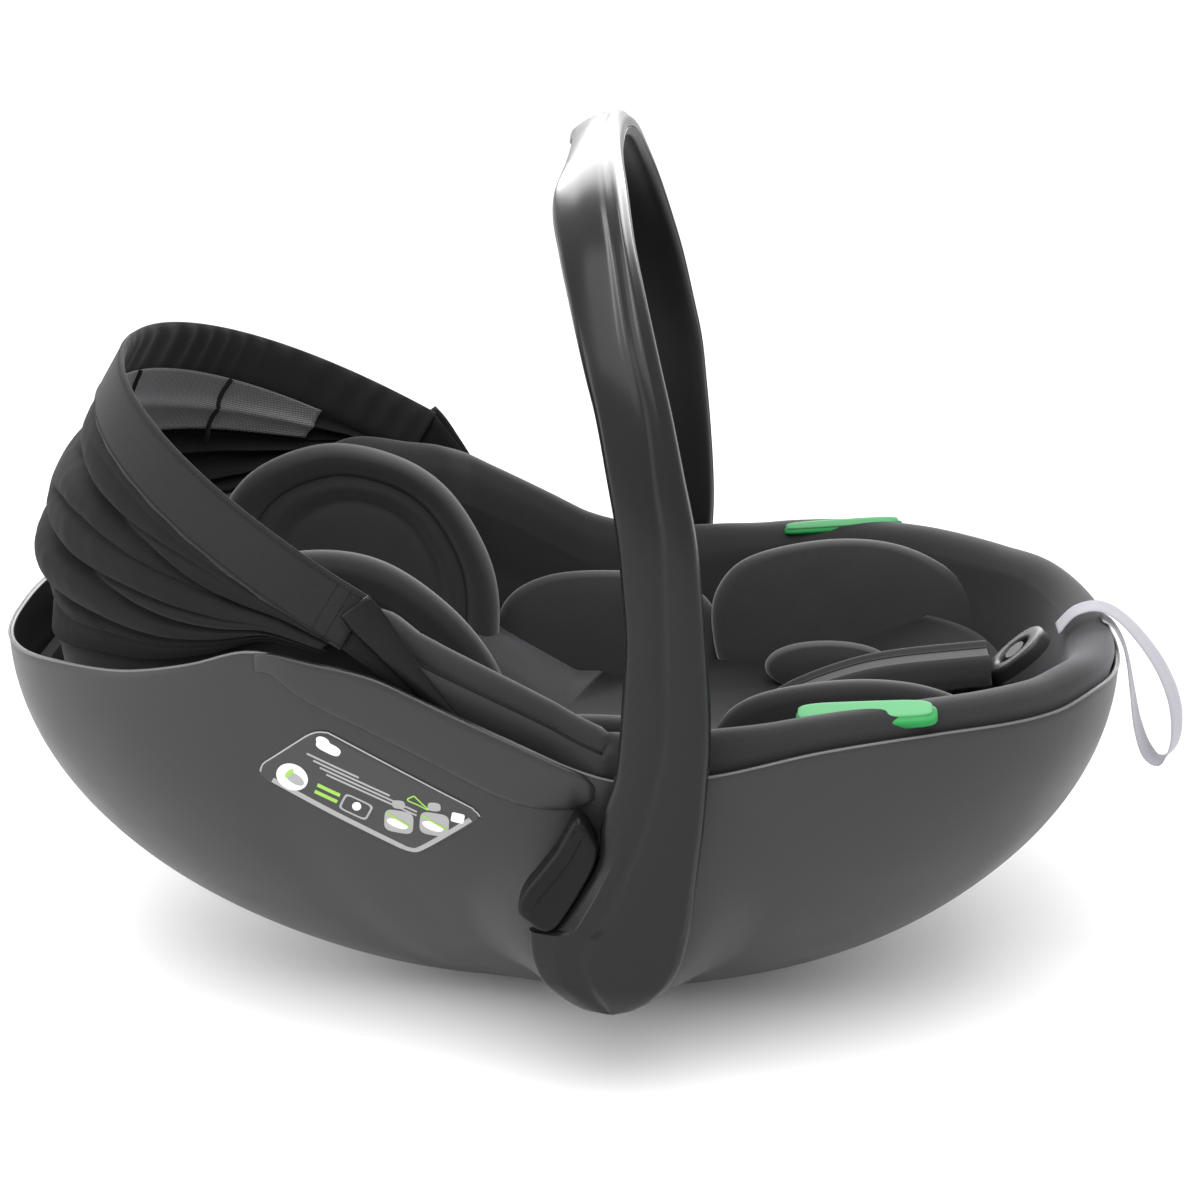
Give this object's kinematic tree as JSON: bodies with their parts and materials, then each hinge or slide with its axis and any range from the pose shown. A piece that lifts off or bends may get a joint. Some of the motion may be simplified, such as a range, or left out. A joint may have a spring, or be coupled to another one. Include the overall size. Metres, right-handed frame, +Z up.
{
  "type": "infant car seat",
  "caption": "Rearward-facing infant carrier seat: padded bucket in a rounded plastic shell, swinging carry handle, folding sun canopy and harness.",
  "frame": {"origin": "centre of the flat patch under the shell that the seat stands on", "axes": "+X towards the feet, +Z up, Y across the seat"},
  "size_m": [0.7391, 0.46, 0.5493],
  "materials": {
    "shell_plastic": "satin moulded plastic, charcoal",
    "handle_plastic": "smooth satin black plastic",
    "black_plastic": "black plastic",
    "foam": "moulded bead foam",
    "canopy_fabric": "black twill and stretch cloth",
    "cover_fabric": "black jersey over wadding",
    "pad_fabric": "charcoal jersey over foam",
    "dark_webbing": "black woven webbing",
    "pale_webbing": "pale grey woven webbing",
    "axle_steel": "turned steel",
    "green_plastic": "bright green plastic",
    "trim_plastic": "dark grey plastic",
    "red_plastic": "red plastic",
    "label_film": "dark printed film without text"
  },
  "bodies": {
    "carrier": {"adjuster_bezel": "trim_plastic", "belt_guide_left": "green_plastic", "belt_guide_right": "green_plastic", "buckle_body": "trim_plastic", "buckle_tongue_left": "trim_plastic", "buckle_tongue_right": "trim_plastic", "canopy_rear_panel": "canopy_fabric", "canopy_socket_left": "black_plastic", "canopy_socket_right": "black_plastic", "channel_cover": "cover_fabric", "crotch_strap": "pale_webbing", "foam_liner": "foam", "head_hugger": "pad_fabric", "head_pillow": "pad_fabric", "hip_strap_left": "dark_webbing", "hip_strap_right": "dark_webbing", "leg_pad_left": "pad_fabric", "leg_pad_right": "pad_fabric", "outer_shell": "shell_plastic", "pivot_axle_left": "axle_steel", "pivot_axle_right": "axle_steel", "pivot_ring_left": "black_plastic", "pivot_ring_right": "black_plastic", "pull_strap": "pale_webbing", "rear_belt_guide": "green_plastic", "seat_cover": "cover_fabric", "seat_insert": "pad_fabric", "shoulder_pad_left": "pad_fabric", "shoulder_pad_right": "pad_fabric", "shoulder_strap_left": "dark_webbing", "shoulder_strap_right": "dark_webbing", "side_bolster_left": "pad_fabric", "side_bolster_right": "pad_fabric", "side_guard_left": "shell_plastic", "side_guard_right": "shell_plastic", "side_label": "label_film", "thigh_pad_left": "pad_fabric", "thigh_pad_right": "pad_fabric"},
    "handle": {"handle_outer": "handle_plastic", "handle_inner": "handle_plastic"},
    "release_left": {"release_button_left": "black_plastic"},
    "release_right": {"release_button_right": "black_plastic"},
    "canopy_front": {"canopy_hem": "canopy_fabric", "canopy_bow": "black_plastic", "canopy_leg_left": "black_plastic", "canopy_leg_right": "black_plastic", "canopy_front_panel": "canopy_fabric"},
    "canopy_mid": {"canopy_mid_panel": "canopy_fabric", "canopy_mid_rib": "black_plastic"},
    "buckle_press": {"buckle_button": "red_plastic"},
    "adjuster_press": {"adjuster_button": "trim_plastic"}
  },
  "joints": [
    {"name": "handle_swing", "type": "hinge", "parent": "carrier", "child": "handle", "pos_m": [0.019, 0, 0.115], "axis": [0, 1, 0], "range_deg": [0, 100]},
    {"name": "release_left_press", "type": "slide", "parent": "handle", "child": "release_left", "axis": [0, -1, 0], "range_m": [0, 0.0045], "stiffness_N_per_m": 300},
    {"name": "release_right_press", "type": "slide", "parent": "handle", "child": "release_right", "axis": [0, 1, 0], "range_m": [0, 0.0045], "stiffness_N_per_m": 300},
    {"name": "canopy_fold", "type": "hinge", "parent": "carrier", "child": "canopy_front", "pos_m": [-0.06, 0, 0.225], "axis": [0, 1, 0], "range_deg": [0, 60]},
    {"name": "canopy_follow", "type": "hinge", "parent": "carrier", "child": "canopy_mid", "pos_m": [-0.06, 0, 0.225], "axis": [0, 1, 0], "range_deg": [0, 30]},
    {"name": "buckle_button_press", "type": "slide", "parent": "carrier", "child": "buckle_press", "axis": [0, 0, -1], "range_m": [0, 0.002], "stiffness_N_per_m": 600},
    {"name": "adjuster_button_press", "type": "slide", "parent": "carrier", "child": "adjuster_press", "axis": [0.6727, 0, -0.7399], "range_m": [0, 0.0015], "stiffness_N_per_m": 600}
  ],
  "couplings": [
    {"joint": "canopy_follow", "follows": "canopy_fold", "ratio": 0.5}
  ]
}
